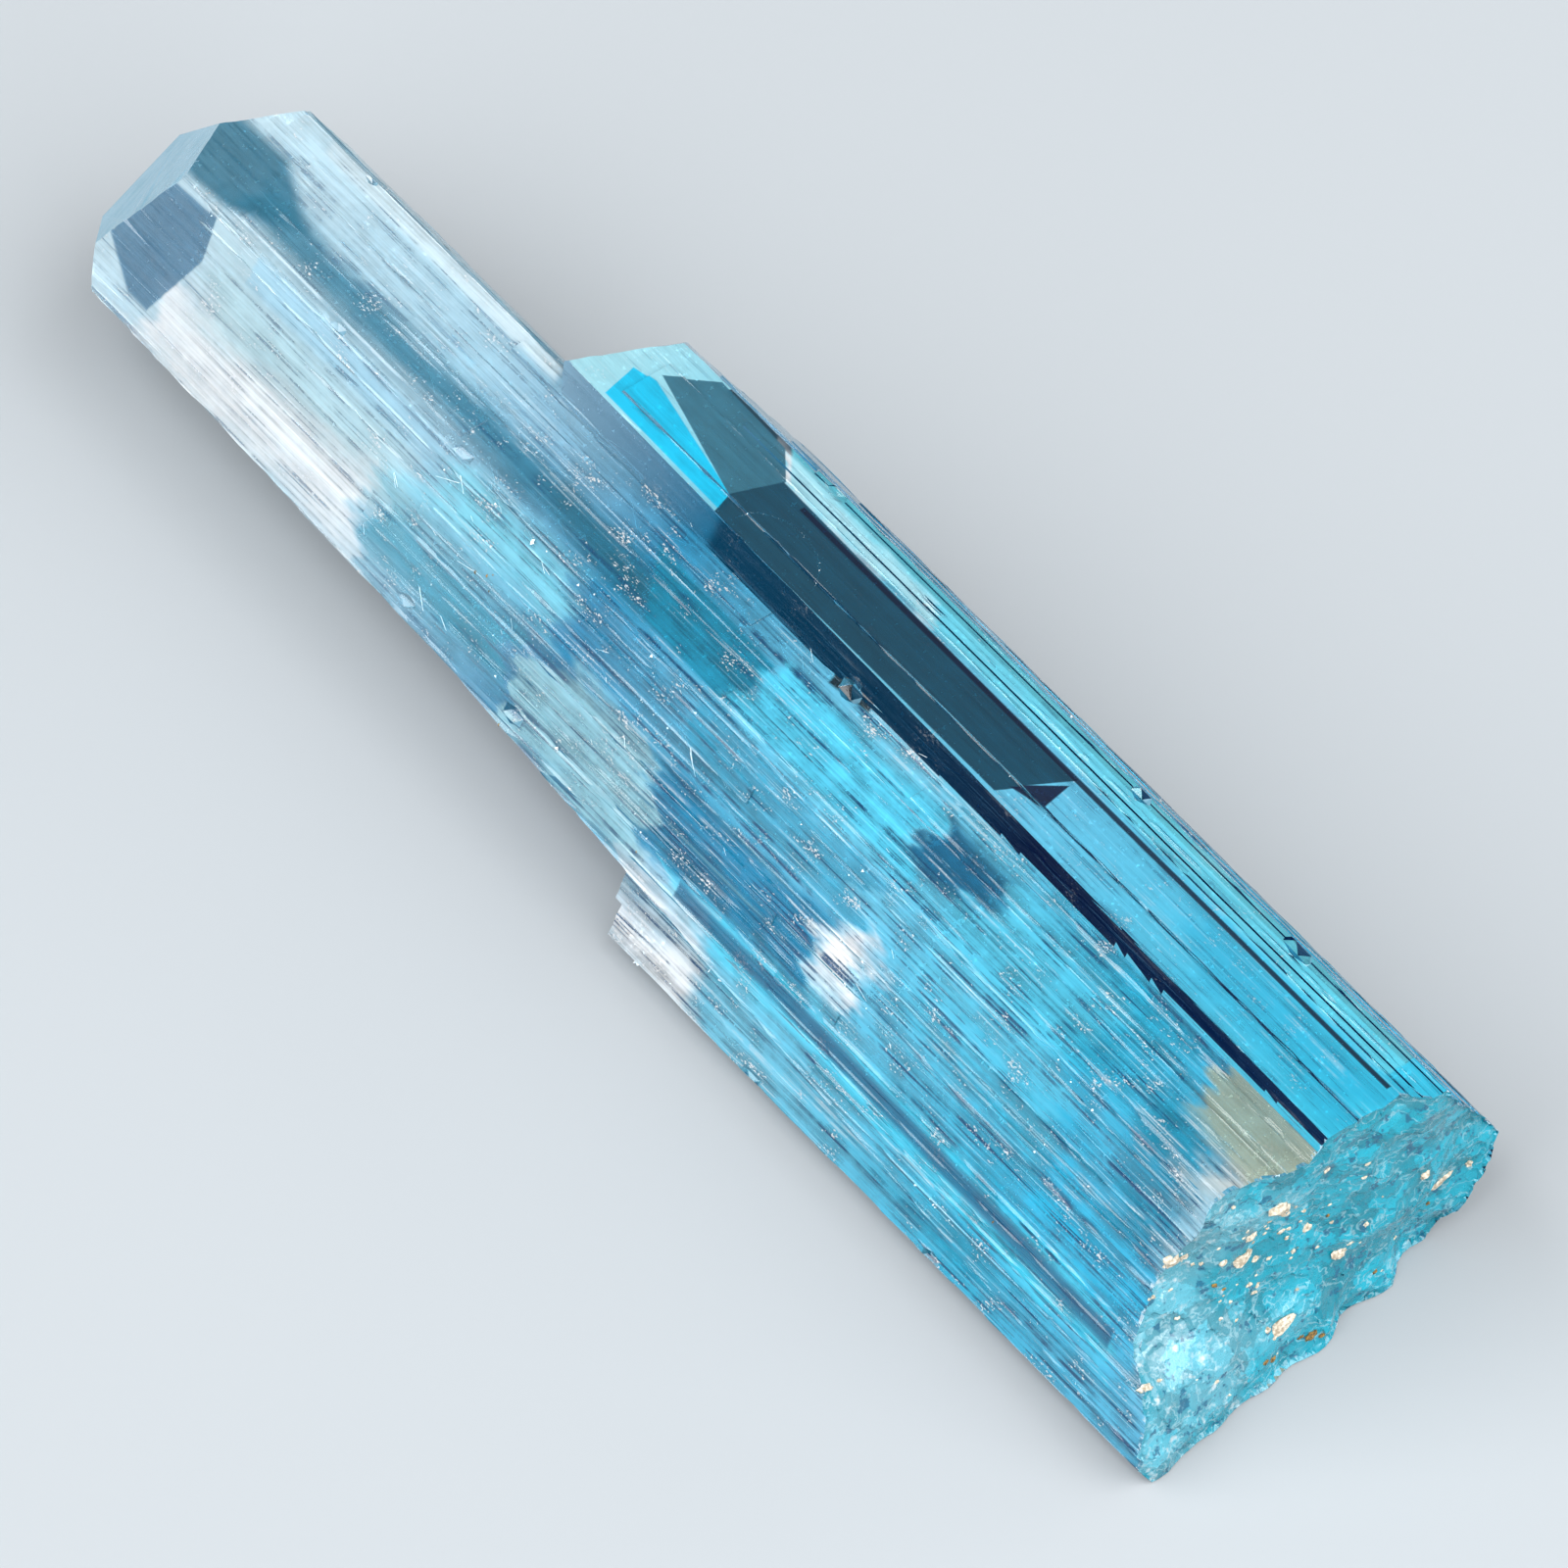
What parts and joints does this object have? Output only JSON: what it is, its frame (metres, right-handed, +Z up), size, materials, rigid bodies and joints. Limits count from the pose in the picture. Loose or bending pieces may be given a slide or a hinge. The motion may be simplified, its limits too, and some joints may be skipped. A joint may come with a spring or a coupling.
{
  "type": "aquamarine crystal",
  "caption": "Long hexagonal blue beryl crystal with parallel side crystals grown onto it, bevelled tips and a rough broken end, lying on a prism face.",
  "frame": {"origin": "middle of the footprint, on the prism face that the crystal lies on", "axes": "+Y along the prism axis towards the tip, +Z up, +X towards the shorter side crystal"},
  "size_m": [0.0162, 0.06, 0.0107],
  "materials": {
    "beryl": "clear pale blue beryl, natural glossy prism faces with fine lengthwise striations, veils and a rough broken end"
  },
  "bodies": {
    "root": {"aquamarine_crystal": "beryl"}
  },
  "joints": []
}
